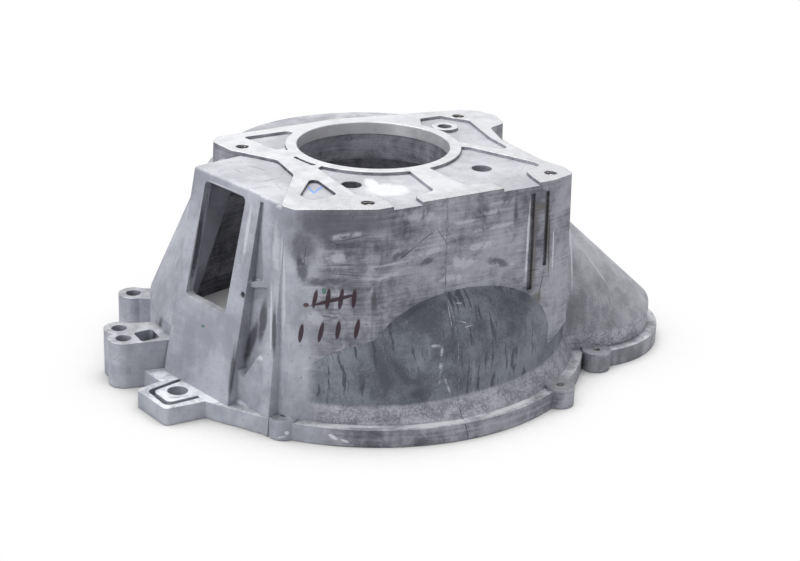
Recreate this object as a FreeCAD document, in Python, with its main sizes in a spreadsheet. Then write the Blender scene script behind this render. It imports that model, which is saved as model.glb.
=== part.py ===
import FreeCAD, Part
import math
import os

import Sketcher

# Bellhousing of a car gearbox: one die-cast aluminium shell.
# Frame: origin on the shaft axis in the engine face, +Z to the gearbox, +X to the starter side,
# +Y to the side that faces up in the car. All sizes are millimetres.

document = FreeCAD.newDocument("bellhousing")
sizes = document.addObject("Spreadsheet::Sheet", "Sizes")

DRIVING_SIZES = [
    ("face_height", 180.0, "engine face to gearbox face"),
    ("face_step", 2.5, "machined face above the cast surface round it"),
    ("wall", 6.0, "usual wall of the casting"),
    ("top_wall", 7.0, "wall under the gearbox face"),
    ("draft", 1.7, "slope of the box walls in degrees"),
    ("bore_radius", 61.6, "gearbox register"),
    ("register_depth", 10.0, "machined depth of the register"),
    ("hub_relief", 1.5, "cast bore wider than the register"),
    ("hub_wall", 9.0, "ring that hangs below the register"),
    ("hub_depth", 32.0, "face to the end of that ring"),
    ("ring_land", 9.0, "machined ring round the bore"),
    ("land", 16.0, "metal round each gearbox bolt"),
    ("upper_bolt_spacing", 203.0, "gearbox bolts A and B"),
    ("upper_bolt_shift", 4.0, "their middle from the axis"),
    ("upper_bolt_rise", 39.0, "their height over the axis"),
    ("lower_bolt_spacing", 163.0, "gearbox bolts C and D"),
    ("lower_bolt_shift", 7.5, "their middle from the axis"),
    ("lower_bolt_drop", 120.0, "their drop below the axis"),
    ("face_thread", 10.2, "tapped hole at each gearbox bolt"),
    ("face_thread_depth", 26.0, "depth of those holes"),
    ("bolt_boss", 13.0, "radius of the boss inside, round each gearbox bolt"),
    ("bolt_boss_depth", 38.0, "gearbox face to the end of that boss"),
    ("back_edge", 75.0, "axis to the back edge of the face"),
    ("right_waist", 101.0, "axis to the narrow right side of the face"),
    ("left_waist", 88.0, "axis to the narrow left side of the face"),
    ("corner_reach", 134.0, "axis to the front left corner of the box"),
    ("corner_drop", 105.0, "that corner below the axis"),
    ("breather_x", 50.3, "plain hole on the starter side"),
    ("breather_drop", 82.0, "its drop below the axis"),
    ("drain_x", -61.3, "plain hole on the fork side"),
    ("drain_drop", 73.0, "its drop below the axis"),
    ("plain_hole", 16.0, "diameter of those two holes"),
    ("pin_x", 79.4, "locating hole in its own round land"),
    ("pin_rise", 18.8, "its height over the axis"),
    ("pin_hole", 12.0, "its diameter"),
    ("pin_land", 11.0, "radius of its land"),
    ("flange_thick", 14.0, "engine flange"),
    ("flange_radius", 179.0, "engine flange at the front"),
    ("lip", 8.5, "flange beyond the foot of the bell"),
    ("skirt_inset", 8.5, "foot of the bell to its short straight stretch"),
    ("skirt_low", 29.0, "lower end of that stretch"),
    ("shoulder_radius", 67.0, "round shoulder above it"),
    ("shoulder_drop", 94.0, "gearbox face to the corner that the shoulder rounds"),
    ("neck_length", 62.0, "gearbox face to the lower end of the neck"),
    ("neck_inset", 38.0, "neck inside the straight stretch"),
    ("neck_fillet", 8.0, "rounded corner at the foot of the neck"),
    ("neck_chamfer", 4.0, "chamfer round its top"),
    ("neck_drop", 9.0, "gearbox face to the top of the neck"),
    ("cone_shift", 13.0, "centre of the bell's foot to the left of the axis"),
    ("cone_rise", 26.0, "the same, above the axis"),
    ("cone_radius", 157.5, "its upright foot"),
    ("cone_low", 47.5, "top of that foot"),
    ("cone_drop", 26.0, "gearbox face to where that cone rounds over"),
    ("cone_lean", 45.5, "how far it leans in on the way up"),
    ("cone_edge", 10.0, "length that its softened top edge takes off each side"),
    ("cone_cap", 28.0, "width of its sloping cap"),
    ("column_foot", 43.0, "height where the corner columns run out on the bell"),
    ("column_run", 52.0, "height over which they run out"),
    ("column_spread", 24.0, "how far they stand out over that height"),
    ("lobe_x", 174.0, "centre of the starter lobe"),
    ("lobe_drop", 42.0, "its drop below the axis"),
    ("lobe_radius", 69.0, "its radius"),
    ("lobe_shoulder", 35.0, "height of its upright skirt"),
    ("lobe_roof_radius", 73.0, "round roof that slopes up to the bell"),
    ("lobe_roof_slope", 42.5, "its slope in degrees"),
    ("fork_turn", 11.7, "turn of the fork-window wall in degrees"),
    ("fork_out", 142.5, "axis to the top of that wall"),
    ("fork_slope", 11.1, "lean of that wall in degrees"),
    ("fork_root", 60.0, "axis to the hidden inner side of the box behind it"),
    ("fork_edge", 3.0, "rounded top edge of that wall"),
    ("fork_back", 46.0, "far end of that wall from the shaft"),
    ("fork_front", 36.0, "near end of that wall from the shaft"),
    ("cheek_front", 70.0, "near end of the cheek beside it"),
    ("cheek_out", 144.5, "axis to the top of the cheek"),
    ("cheek_slope", 6.7, "lean of the cheek in degrees"),
    ("cheek_recess", 4.0, "depth of the recesses in the cheek"),
    ("corner_rib", 12.0, "width of the rib that joins the cheek to the corner column"),
    ("corner_rib_front", 73.0, "near end of that rib"),
    ("corner_rib_out", 149.5, "axis to the top of that rib"),
    ("corner_rib_slope", 5.2, "its lean in degrees"),
    ("swell_shift", 19.0, "centre of the swell below the left corner, left of and below the axis"),
    ("swell_radius", 144.0, "its radius"),
    ("swell_high", 56.0, "height of its upright foot"),
    ("swell_run", 41.0, "height of the slope above that foot"),
    ("swell_lean", 24.6, "how far that slope leans in"),
    ("peg_hole", 5.0, "small blind hole in the window frame"),
    ("peg_height", 100.0, "its height over the engine face"),
    ("peg_inset", 3.0, "that hole from the near end of the frame"),
    ("window_back", 31.0, "window: far side"),
    ("window_front", 19.0, "window: near side"),
    ("window_lean", 3.0, "window: shift of its sill to the far side"),
    ("window_low", 79.5, "window: sill"),
    ("window_drop", 9.5, "gearbox face to the top of the window"),
    ("window_corner", 4.0, "window: corner radius"),
    ("flute_depth", 3.0, "upright flutes in the front wall beside bolt C"),
    ("flute_drop", 8.0, "gearbox face to the top of the flutes"),
    ("boss_height", 38.0, "tall engine-bolt bosses"),
    ("boss_radius", 12.5, "their radius"),
    ("boss_web", 11.0, "half width of the web that ties each to the bell"),
    ("boss_out", 15.5, "their centres beyond the foot of the bell"),
    ("lobe_boss_out", 8.0, "the same for the one on the lobe"),
    ("pair_out", 19.0, "paired boss beyond the others' circle"),
    ("dowel_in", 3.0, "locating boss inside the paired one"),
    ("boss_hole", 12.5, "diameter of their through holes"),
    ("hollow_depth", 26.0, "hollow between the paired bosses and the bell"),
    ("ear_hole", 16.0, "hole of the square ear"),
    ("ear_groove", 6.0, "depth of the groove round its land"),
    ("pad_height", 16.0, "cover-plate screw pads"),
    ("pad_radius", 12.0, "their radius"),
    ("pad_thread", 6.0, "diameter of their tapped holes"),
    ("pad_thread_depth", 12.0, "depth of those holes"),
]

for row, (name, amount, _) in enumerate(DRIVING_SIZES, start=1):
    sizes.set("A%d" % row, name)
    sizes.set("B%d" % row, str(amount))
    sizes.setAlias("B%d" % row, name)
document.recompute()

def number(expression):
    """The number that an expression over the sheet stands for."""
    found = sizes.evalExpression(expression)
    return float(getattr(found, "Value", found))


def new_body(name):
    body = document.addObject("PartDesign::Body", name)
    body.AllowCompound = True
    return body


def plane_sketch(body, name, role):
    """A sketch on one of a body's own origin planes."""
    sketch = body.newObject("Sketcher::SketchObject", name)
    plane = [plane for plane in body.Origin.OriginFeatures if plane.Role == role][0]
    sketch.AttachmentSupport = [(plane, "")]
    sketch.MapMode = "FlatFace"
    return sketch


def level_sketch(body, name, height):
    """A sketch square to the shaft axis, at a height given as an expression."""
    sketch = plane_sketch(body, name, "XY_Plane")
    sketch.setExpression("AttachmentOffset.Base.z", height)
    return sketch


def upright_sketch(body, name, turn, right="0", forward="0", up="0"):
    """An upright sketch turned about +Z, its origin moved to the right and towards -Y."""
    sketch = plane_sketch(body, name, "XZ_Plane")
    sketch.AttachmentOffset = FreeCAD.Placement(
        FreeCAD.Vector(), FreeCAD.Rotation(FreeCAD.Vector(0, 1, 0), 90))
    sketch.setExpression("AttachmentOffset.Rotation.Angle", turn)
    sketch.setExpression("AttachmentOffset.Base.x", right)
    sketch.setExpression("AttachmentOffset.Base.y", up)
    sketch.setExpression("AttachmentOffset.Base.z", forward)
    return sketch


def add_dimensions(sketch, rules):
    """Adds constraints at once; each is (constraint, expression), the expression None if fixed."""
    first = sketch.ConstraintCount
    sketch.addConstraint([rule for rule, _ in rules])
    for index, (_, expression) in enumerate(rules, start=first):
        if expression is not None:
            sketch.setExpression("Constraints[%d]" % index, expression)


def pinned(geometry, point, x, y):
    """Dimensions from a sketch's origin to one point."""
    return [(Sketcher.Constraint(kind, -1, 1, geometry, point, number(expression)), expression)
            for kind, expression in (("DistanceX", x), ("DistanceY", y))]


def add_circle(sketch, x, y, radius):
    centre = FreeCAD.Vector(number(x), number(y), 0)
    ring = sketch.addGeometry(Part.Circle(centre, FreeCAD.Vector(0, 0, 1), number(radius)))
    size = (Sketcher.Constraint("Radius", ring, number(radius)), radius)
    add_dimensions(sketch, [size] + pinned(ring, 3, x, y))


def rounded_corner(before, corner, after, radius):
    """Ends, centre and sense of the arc that rounds a corner."""
    to_before = (before - corner).normalize()
    to_after = (after - corner).normalize()
    half = to_before.getAngle(to_after) / 2
    reach = radius / math.tan(half)
    middle = (to_before + to_after).normalize()
    centre = corner + middle * (radius / math.sin(half))
    left_turn = (corner - before).cross(after - corner).z > 0
    return corner + to_before * reach, corner + to_after * reach, centre, left_turn


def add_outline(sketch, corners):
    """A closed outline through corners (x, y, radius), all expressions; radius None is sharp."""
    points = [FreeCAD.Vector(number(x), number(y), 0) for x, y, _ in corners]
    count = len(corners)
    arcs = {}
    for i, (_, _, radius) in enumerate(corners):
        if radius is not None:
            arcs[i] = rounded_corner(points[i - 1], points[i], points[(i + 1) % count], number(radius))
    lines = []
    for i in range(count):
        following = (i + 1) % count
        start = arcs[i][1] if i in arcs else points[i]
        end = arcs[following][0] if following in arcs else points[following]
        lines.append(sketch.addGeometry(Part.LineSegment(start, end)))
    rules = []
    for i, (x, y, radius) in enumerate(corners):
        incoming, outgoing = lines[i - 1], lines[i]
        if i not in arcs:
            rules.append((Sketcher.Constraint("Coincident", incoming, 2, outgoing, 1), None))
            rules += pinned(outgoing, 1, x, y)
            continue
        first, last, centre, left_turn = arcs[i]
        low, high = (first, last) if left_turn else (last, first)
        low_angle = math.atan2(low.y - centre.y, low.x - centre.x)
        high_angle = math.atan2(high.y - centre.y, high.x - centre.x)
        round_end = Part.Circle(centre, FreeCAD.Vector(0, 0, 1), number(radius))
        arc = sketch.addGeometry(Part.ArcOfCircle(round_end, low_angle, high_angle))
        near, far = (1, 2) if left_turn else (2, 1)
        corner = sketch.addGeometry(Part.Point(points[i]))
        rules += [
            (Sketcher.Constraint("Tangent", incoming, 2, arc, near), None),
            (Sketcher.Constraint("Tangent", arc, far, outgoing, 1), None),
            (Sketcher.Constraint("Radius", arc, number(radius)), radius),
            (Sketcher.Constraint("PointOnObject", corner, 1, incoming), None),
            (Sketcher.Constraint("PointOnObject", corner, 1, outgoing), None),
        ]
        rules += pinned(corner, 1, x, y)
    add_dimensions(sketch, rules)


def finished(made):
    """Recomputes the document and stops if anything in it failed."""
    document.recompute()
    broken = [thing.Name for thing in document.Objects
              if "Invalid" in thing.State or "Error" in thing.State]
    if broken or made.Shape.isNull() or not made.Shape.isValid():
        raise RuntimeError("%s failed: %s" % (made.Name, broken))
    return made


def feature(body, kind, name, profile, **expressions):
    """A feature on a profile; keyword values are expressions for its sizes."""
    made = body.newObject(kind, name)
    made.Profile = profile
    made.Refine = False
    for size, expression in expressions.items():
        made.setExpression(size, expression)
    profile.Visibility = False
    return made


def circle(x, y, radius):
    """A circle for a level pad or pocket: centre and radius as expressions."""
    return lambda sketch: add_circle(sketch, x, y, radius)


def level_profile(body, name, height, shapes):
    """A level sketch of several closed shapes: circles, or lists of corners."""
    sketch = level_sketch(body, name + "Outline", height)
    for shape in shapes:
        if callable(shape):
            shape(sketch)
        else:
            add_outline(sketch, shape)
    return sketch


def level_pad(body, name, height, thickness, shapes, **more):
    """A pad from a height down the axis."""
    made = feature(body, "PartDesign::Pad", name, level_profile(body, name, height, shapes),
                   Length=thickness, **more)
    made.Reversed = True
    return made


def level_pocket(body, name, height, depth, shapes, **more):
    """A pocket cut from a height down the axis."""
    return feature(body, "PartDesign::Pocket", name, level_profile(body, name, height, shapes),
                   Length=depth, **more)


def turned(body, kind, name, sketch):
    """A full turn of a half section about its own upright axis."""
    made = feature(body, kind, name, sketch)
    made.ReferenceAxis = (sketch, ["V_Axis"])
    made.Angle = 360
    return made


def combine(body, name, tool, kind):
    """Adds another body to this one, or cuts it away."""
    document.recompute()
    joined = body.newObject("PartDesign::Boolean", name)
    joined.Type = kind
    joined.setObjects([tool])
    joined.Refine = False
    return joined


def inset(corners, distance):
    """An outline drawn in by a distance, with sharp corners."""
    points = [FreeCAD.Vector(number(x), number(y), 0) for x, y, _ in corners]
    drawn = []
    for i, (x, y, _) in enumerate(corners):
        before = (points[i] - points[i - 1]).normalize()
        after = (points[(i + 1) % len(points)] - points[i]).normalize()
        inward = FreeCAD.Vector(-before.y - after.y, before.x + after.x, 0)
        mitre = inward / (1 + before.dot(after))
        drawn.append(("%s + %.4f * %s" % (x, mitre.x, distance),
                      "%s + %.4f * %s" % (y, mitre.y, distance), None))
    return drawn


# Gearbox bolts: A and B on the upper side, C and D on the lower side.
BOLTS = {
    "a": ("Sizes.upper_bolt_shift - Sizes.upper_bolt_spacing / 2", "Sizes.upper_bolt_rise"),
    "b": ("Sizes.upper_bolt_shift + Sizes.upper_bolt_spacing / 2", "Sizes.upper_bolt_rise"),
    "c": ("Sizes.lower_bolt_shift + Sizes.lower_bolt_spacing / 2", "-Sizes.lower_bolt_drop"),
    "d": ("Sizes.lower_bolt_shift - Sizes.lower_bolt_spacing / 2", "-Sizes.lower_bolt_drop"),
}


def by_bolt(bolt, right, up, radius=None):
    """A corner so many lands to the right of a bolt and above it."""
    x, y = BOLTS[bolt]
    return "%s + %g * Sizes.land" % (x, right), "%s + %g * Sizes.land" % (y, up), radius


# Outline of the machined gearbox face, from bolt D to the right.
FACE_OUTLINE = [
    by_bolt("d", 0, -1, "10"),
    by_bolt("c", -0.5, -1, "8"),
    by_bolt("c", 1, -0.55, "8"),
    by_bolt("c", 1.1, 0.5, "8"),
    ("Sizes.right_waist", "-92", "12"),
    ("Sizes.right_waist + 1", "-33", "20"),
    by_bolt("b", 0.4, -2.5, "8"),
    by_bolt("b", 1.5, -2.1, "6"),
    by_bolt("b", 1.9, -0.7, "12"),
    by_bolt("b", 1.5, 0.4, "12"),
    by_bolt("b", 0.5, 1, "10"),
    ("5", "Sizes.back_edge", "60"),
    by_bolt("a", -0.4, 2, "6"),
    by_bolt("a", -1, 1.3, "6"),
    by_bolt("a", -0.8, -0.3, "6"),
    ("-Sizes.left_waist", "-3", "12"),
    ("-Sizes.left_waist - 5", "-40", "12"),
    ("-Sizes.corner_reach", "-Sizes.corner_drop + 6", "6"),
    ("-Sizes.corner_reach + 5", "-Sizes.corner_drop - 6", "6"),
]
COLUMN_SWEEP = 60
COLUMN_X = "(Sizes.lower_bolt_shift + Sizes.lower_bolt_spacing / 2)"
CAST_LEVEL = "Sizes.face_height - Sizes.face_step"
NECK_TOP = "Sizes.face_height - Sizes.neck_drop"
BELL_FOOT = "Sizes.flange_radius - Sizes.lip"
SKIRT = BELL_FOOT + " - Sizes.skirt_inset"
WINDOW_TOP = "Sizes.face_height - Sizes.window_drop"
SHAFT = ("0", "0")
CONE_CENTRE = ("-Sizes.cone_shift", "Sizes.cone_rise")
LOBE_CENTRE = ("Sizes.lobe_x", "-Sizes.lobe_drop")


def around(centre, radius, angle):
    """A point at a radius and an angle round a centre, all of them expressions."""
    x, y = centre
    return "%s + (%s) * cos(%s)" % (x, radius, angle), "%s + (%s) * sin(%s)" % (y, radius, angle)


# Flat steps that stand in for a round: the cavity's shoulder, in from the skirt and up from its
# corner, and the cone's top edge, out and up as shares of its size.
SHOULDER_STEPS = [("0", " - 28"), ("6", " - 3"), ("22", " + 18")]
EDGE_STEPS = [("0.39", "-0.92"), ("-0.12", "-0.12"), ("-0.87", "0.5")]


def bell_section(body, name, drawn_in, top):
    """Half section of the bell: skirt, round shoulder and neck."""
    sketch = plane_sketch(body, name, "XZ_Plane")
    foot = "%s - %s" % (BELL_FOOT, drawn_in)
    skirt = "%s - %s" % (SKIRT, drawn_in)
    neck = skirt + " - Sizes.neck_inset"
    shoulder = "Sizes.face_height - Sizes.shoulder_drop - %s / 2" % drawn_in
    if drawn_in == "0":
        rounded = [(skirt, shoulder, "Sizes.shoulder_radius")]
    else:
        rounded = [(skirt + " - " + inward, shoulder + upward, None)
                   for inward, upward in SHOULDER_STEPS]
    add_outline(sketch, [
        ("0", "0", None),
        (foot, "0", None),
        (foot, "Sizes.flange_thick - %s / 2" % drawn_in, None),
        (skirt, "Sizes.skirt_low", None),
        *rounded,
        (neck, "Sizes.face_height - Sizes.neck_length - %s / 2" % drawn_in,
         "Sizes.neck_fillet" if drawn_in == "0" else None),
        (neck, "%s - Sizes.neck_chamfer" % top, None),
        (neck + " - Sizes.neck_chamfer", top, None),
        ("0", top, None),
    ])
    return sketch


def cone_section(body, name, drawn_in):
    """Half section of the wide cone on the upper side, about its own centre."""
    sketch = upright_sketch(body, name, "0", "-Sizes.cone_shift", "-Sizes.cone_rise")
    foot = "Sizes.cone_radius - %s" % drawn_in
    edge = foot + " - Sizes.cone_lean"
    top = "Sizes.face_height - Sizes.cone_drop - %s / 2" % drawn_in
    cap = "%s - 1 - %s" % (NECK_TOP, drawn_in)
    steps = EDGE_STEPS if drawn_in == "0" else [("0", "0")]
    add_outline(sketch, [
        ("0", "0", None),
        (foot, "0", None),
        (foot, "Sizes.cone_low - %s / 4" % drawn_in, None),
        *[("%s + %s * Sizes.cone_edge" % (edge, out), "%s + %s * Sizes.cone_edge" % (top, up), None)
          for out, up in steps],
        (edge + " - Sizes.cone_cap", cap, None),
        ("0", cap, None),
    ])
    return sketch


def lobe_body(name, drawn_in):
    """Starter lobe: an upright round end that runs into the bell, under a sloping round roof."""
    body = new_body(name)
    away = "sqrt(Sizes.lobe_x ^ 2 + Sizes.lobe_drop ^ 2)"
    height = "%s - Sizes.lobe_shoulder - %s" % (NECK_TOP, drawn_in)
    turn = "-atan(Sizes.lobe_drop / Sizes.lobe_x)"
    radius = "(Sizes.lobe_radius - %s)" % drawn_in
    block = level_sketch(body, name + "Block", height)
    block.setExpression("AttachmentOffset.Rotation.Angle", turn)
    add_outline(block, [
        ("0", "-" + radius, None),
        ("%s + %s" % (away, radius), "-" + radius, "%s - 0.01" % radius),
        ("%s + %s" % (away, radius), radius, "%s - 0.01" % radius),
        ("0", radius, None),
    ])
    wall = feature(body, "PartDesign::Pad", name + "Wall", block, Length=height)
    wall.Reversed = True

    def on_roof(along, out):
        """A point along the roof line from the skirt's top, and out from it, square to it."""
        cosine, sine = "cos(Sizes.lobe_roof_slope)", "sin(Sizes.lobe_roof_slope)"
        return ("%s + Sizes.lobe_radius - %s * (%s) + %s * (%s)" % (away, cosine, along, sine, out),
                "Sizes.lobe_shoulder + %s * (%s) + %s * (%s)" % (sine, along, cosine, out), None)

    low_end, high_end = "-90", "260"
    roof = upright_sketch(body, name + "Roof", turn)
    ends = [on_roof(along, "-Sizes.lobe_roof_radius")[:2] for along in (low_end, high_end)]
    axis = roof.addGeometry(Part.LineSegment(
        *[FreeCAD.Vector(number(x), number(y), 0) for x, y in ends]), True)
    add_dimensions(roof, pinned(axis, 1, *ends[0]) + pinned(axis, 2, *ends[1]))
    inner, outer = "-" + drawn_in, "Sizes.lobe_roof_radius * 2"
    add_outline(roof, [on_roof(low_end, inner), on_roof(low_end, outer),
                       on_roof(high_end, outer), on_roof(high_end, inner)])
    cut = body.newObject("PartDesign::Groove", name + "RoofCut")
    cut.Profile = roof
    cut.ReferenceAxis = (roof, ["Axis0"])
    cut.Angle = 360
    return body


def fork_section(body, name, along, drawn_in, out, slope, top):
    """Section of the fork box at a distance along its wall."""
    sketch = upright_sketch(body, name, "180 + Sizes.fork_turn",
                            "sin(Sizes.fork_turn) * (%s)" % along,
                            "cos(Sizes.fork_turn) * (%s)" % along)
    add_outline(sketch, [
        ("Sizes.fork_root", "0", None),
        ("Sizes.fork_root", top, None),
        ("%s - %s" % (out, drawn_in), top, "Sizes.fork_edge"),
        ("%s - %s + tan(%s) * (%s)" % (out, drawn_in, slope, top), "0", None),
    ])
    return sketch


def column_foot(body, name, drawn_in):
    """Cuts the lower corner of the box away, so that its column runs out on the bell."""
    sketch = upright_sketch(body, name + "Section", "-atan(Sizes.lower_bolt_drop / %s)" % COLUMN_X)
    skirt = "%s - %s" % (SKIRT, drawn_in)
    run_out = "Sizes.column_foot + Sizes.column_run"
    add_outline(sketch, [
        (skirt, "-1", None),
        (skirt, "Sizes.column_foot", None),
        (skirt + " + Sizes.column_spread", run_out, None),
        (skirt + " + 4 * Sizes.column_spread", run_out, None),
        (skirt + " + 4 * Sizes.column_spread", "-1", None),
    ])
    cut = feature(body, "PartDesign::Groove", name, sketch)
    cut.ReferenceAxis = (sketch, ["V_Axis"])
    cut.Angle = COLUMN_SWEEP
    cut.Midplane = True


def add_forms(body, name, drawn_in, box_top, fork_top, neck_top):
    """The main forms of the casting, full size or drawn in by a wall for the cavity."""
    outline = FACE_OUTLINE if drawn_in == "0" else inset(FACE_OUTLINE, drawn_in)
    level_pad(body, name + "Box", box_top, box_top, [outline], TaperAngle="Sizes.draft")
    column_foot(body, name + "ColumnFoot", drawn_in)
    cheek_in = "0" if drawn_in == "0" else "(%s + Sizes.cheek_recess)" % drawn_in
    for part, front, back, out, slope, part_in in (
            ("Fork", "Sizes.fork_front", "Sizes.fork_back", "Sizes.fork_out", "Sizes.fork_slope",
             drawn_in),
            ("Cheek", "Sizes.cheek_front", "-Sizes.fork_front", "Sizes.cheek_out",
             "Sizes.cheek_slope", cheek_in)):
        section = fork_section(body, name + part + "Section", "%s - %s" % (front, part_in),
                               part_in, out, slope, fork_top)
        feature(body, "PartDesign::Pad", name + part, section,
                Length="%s + %s - 2 * %s" % (front, back, part_in))
    turned(body, "PartDesign::Revolution", name + "Bell",
           bell_section(body, name + "BellSection", drawn_in, neck_top))
    turned(body, "PartDesign::Revolution", name + "Cone",
           cone_section(body, name + "ConeSection", drawn_in))
    combine(body, name + "LobeJoin", lobe_body(name + "Lobe", drawn_in), "Fuse")


body = new_body("Housing")
body.Label = "housing_casting"
add_forms(body, "Outer", "0", "Sizes.face_height", CAST_LEVEL, NECK_TOP)

# Left front corner: a rib that joins the cheek to the column, and the bell's swell below both.
rib = fork_section(body, "CornerRibSection", "Sizes.corner_rib_front", "0",
                   "Sizes.corner_rib_out", "Sizes.corner_rib_slope", CAST_LEVEL)
feature(body, "PartDesign::Pad", "CornerRib", rib, Length="Sizes.corner_rib")
swell = upright_sketch(body, "SwellSection", "0", "-Sizes.swell_shift", "Sizes.swell_shift")
add_outline(swell, [
    ("0", "0", None),
    ("Sizes.swell_radius", "0", None),
    ("Sizes.swell_radius", "Sizes.swell_high", None),
    ("Sizes.swell_radius - Sizes.swell_lean", "Sizes.swell_high + Sizes.swell_run", None),
    ("0", "Sizes.swell_high + Sizes.swell_run", None)])
turned(body, "PartDesign::Revolution", "Swell", swell)

# Engine side: three overlapping flange discs, one for each part of the bell.
engine_side = new_body("EngineSide")
BOLT_CIRCLE = "(Sizes.cone_radius + Sizes.boss_out)"
LOBE_BOLT_OUT = "(Sizes.lobe_radius + Sizes.lobe_boss_out)"
for name, centre, radius in (
        ("FrontFlange", SHAFT, "Sizes.flange_radius"),
        ("UpperFlange", CONE_CENTRE, BOLT_CIRCLE + " + Sizes.lip"),
        ("LobeFlange", LOBE_CENTRE, "Sizes.lobe_radius + Sizes.lip")):
    level_pad(engine_side, name, "Sizes.flange_thick", "Sizes.flange_thick",
              [circle(*centre, radius)])

# Engine bolts: tall bosses round the upper side and one on the lobe, each tied to the bell by a web.
TALL_BOSSES = [(CONE_CENTRE, BOLT_CIRCLE, angle) for angle in ("35", "65", "115", "149")]
TALL_BOSSES.append((LOBE_CENTRE, LOBE_BOLT_OUT, "60"))


def boss_web(centre, radius, angle):
    """Outline of the block between a boss and the wall behind it."""
    corners = []
    for reach, side in (("- 2 * Sizes.boss_radius", -1), ("", -1), ("", 1),
                        ("- 2 * Sizes.boss_radius", 1)):
        x, y = around(centre, "%s %s" % (radius, reach), angle)
        corners.append(("%s - %d * Sizes.boss_web * sin(%s)" % (x, side, angle),
                        "%s + %d * Sizes.boss_web * cos(%s)" % (y, side, angle), None))
    return corners


# The paired boss on the left holds a bolt and, beside it, the locating dowel.
PAIR = around(CONE_CENTRE, BOLT_CIRCLE + " + Sizes.pair_out", "178.2")
DOWEL = around(CONE_CENTRE, BOLT_CIRCLE + " + Sizes.pair_out - Sizes.dowel_in", "172.1")
ENGINE_BOLTS = [around(*boss) for boss in TALL_BOSSES] + [PAIR, DOWEL]
for i, (x, y) in enumerate(ENGINE_BOLTS):
    level_pad(engine_side, "EngineBoss%d" % i, "Sizes.boss_height", "Sizes.boss_height",
              [circle(x, y, "Sizes.boss_radius")])
level_pad(engine_side, "BossWebs", "Sizes.boss_height", "Sizes.boss_height",
          [boss_web(*boss) for boss in TALL_BOSSES])


def off_pair(*corners):
    """An outline whose corners are given from the paired boss."""
    return [("%s + (%s)" % (PAIR[0], x), "%s + (%s)" % (PAIR[1], y), radius)
            for x, y, radius in corners]


level_pad(engine_side, "PairBlock", "Sizes.boss_height", "Sizes.boss_height", [
    off_pair(("-3", "-12", None), ("45", "-22", None), ("45", "16", None), ("1", "31", None))])

# Square ear at the lower left, and the cover-plate screw pads along the front edge.
level_pad(engine_side, "SquareEar", "Sizes.flange_thick", "Sizes.flange_thick", [[
    ("-Sizes.flange_radius + 14", "-1", None), ("-Sizes.flange_radius - 35", "-13", "4"),
    ("-Sizes.flange_radius - 29", "-55", "4"), ("-Sizes.flange_radius + 14", "-56", None)]])
EAR_HOLE = ("-Sizes.flange_radius - 7", "-29")
COVER_PADS = [around(SHAFT, "Sizes.flange_radius - 7.5", "218.6"),
              around(SHAFT, "Sizes.flange_radius - 0.5", "298.4"),
              around(LOBE_CENTRE, "Sizes.lobe_radius + 7.2", "253.2")]
level_pad(engine_side, "CoverPads", "Sizes.pad_height", "Sizes.pad_height",
          [circle(x, y, "Sizes.pad_radius") for x, y in COVER_PADS])
combine(body, "EngineSideJoin", engine_side, "Fuse")

# Cavity: the same forms one wall smaller, open to the engine.
cavity = new_body("Cavity")
INNER_TOP = CAST_LEVEL + " - Sizes.top_wall"
add_forms(cavity, "Inner", "Sizes.wall", INNER_TOP, INNER_TOP, NECK_TOP + " - Sizes.top_wall")
combine(body, "Hollow", cavity, "Cut")

# Inside: the ring under the register, and a boss round each tapped hole.
inside = new_body("Inside")
level_pad(inside, "Hub", CAST_LEVEL, "Sizes.hub_depth - Sizes.face_step",
          [circle("0", "0", "Sizes.bore_radius + Sizes.hub_wall")])
level_pad(inside, "BoltBosses", CAST_LEVEL, "Sizes.bolt_boss_depth - Sizes.face_step",
          [circle(x, y, "Sizes.bolt_boss") for x, y in BOLTS.values()])
combine(body, "InsideJoin", inside, "Fuse")

# Cuts start with the cast recesses between the machined bands; two are open to the front wall.
cuts = new_body("Cuts")
RECESSES = {
    "LeftBack": [("-86", "61", "3"), ("-46", "61", "3"), ("-38", "40", None), ("-60", "10", None),
                 ("-77", "22", "4"), ("-82", "44", "4")],
    "LeftSliver": [("-74", "-1", "2"), ("-58", "-3", None), ("-55", "-24", None),
                   ("-70", "-27", "2")],
    "Corner": [("-82", "-49", "4"), ("-111", "-84", "5"), ("-109", "-99", "5"), ("-85", "-94", "5")],
    "FrontLeft": [("-69", "-34", "3"), ("-55", "-25", None), ("-5", "-55", None),
                  ("-8", "-69", "3"), ("-15", "-117", "6"), ("-35", "-122", "4"),
                  ("-38", "-152", None), ("-64", "-152", None), ("-59", "-124", "6"),
                  ("-59", "-108", "8"), ("-73", "-101", "6")],
    "FrontRight": [("9", "-60", None), ("50", "-25", None), ("67", "-38", "4"),
                   ("93", "-93", "6"), ("92", "-101", "4"), ("74", "-107", "8"),
                   ("70", "-124", "6"), ("66", "-152", None), ("36", "-152", None),
                   ("34", "-121", "4"), ("13", "-116", "6")],
    "RightBack": [("72", "46", "4"), ("92", "46", "4"), ("107", "24", "5"), ("97", "-22", "5"),
                  ("95", "-57", "5"), ("86", "-51", "5"), ("66", "-20", None), ("58", "20", None)],
}
for name, corners in RECESSES.items():
    level_pad(cuts, name + "Recess", "Sizes.face_height + 1", "Sizes.face_step + 1", [corners])
level_pocket(cuts, "FaceLands", "Sizes.face_height + 2", "Sizes.face_step + 3", [
    circle("0", "0", "Sizes.bore_radius + Sizes.ring_land"),
    circle("Sizes.pin_x", "Sizes.pin_rise", "Sizes.pin_land")])

# Bore: machined register, then the slightly wider cast bore.
level_pad(cuts, "Register", "Sizes.face_height + 1", "Sizes.register_depth + 1",
          [circle("0", "0", "Sizes.bore_radius")])
level_pad(cuts, "CastBore", "Sizes.face_height - Sizes.register_depth", "Sizes.hub_depth",
          [circle("0", "0", "Sizes.bore_radius + Sizes.hub_relief")])

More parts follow.
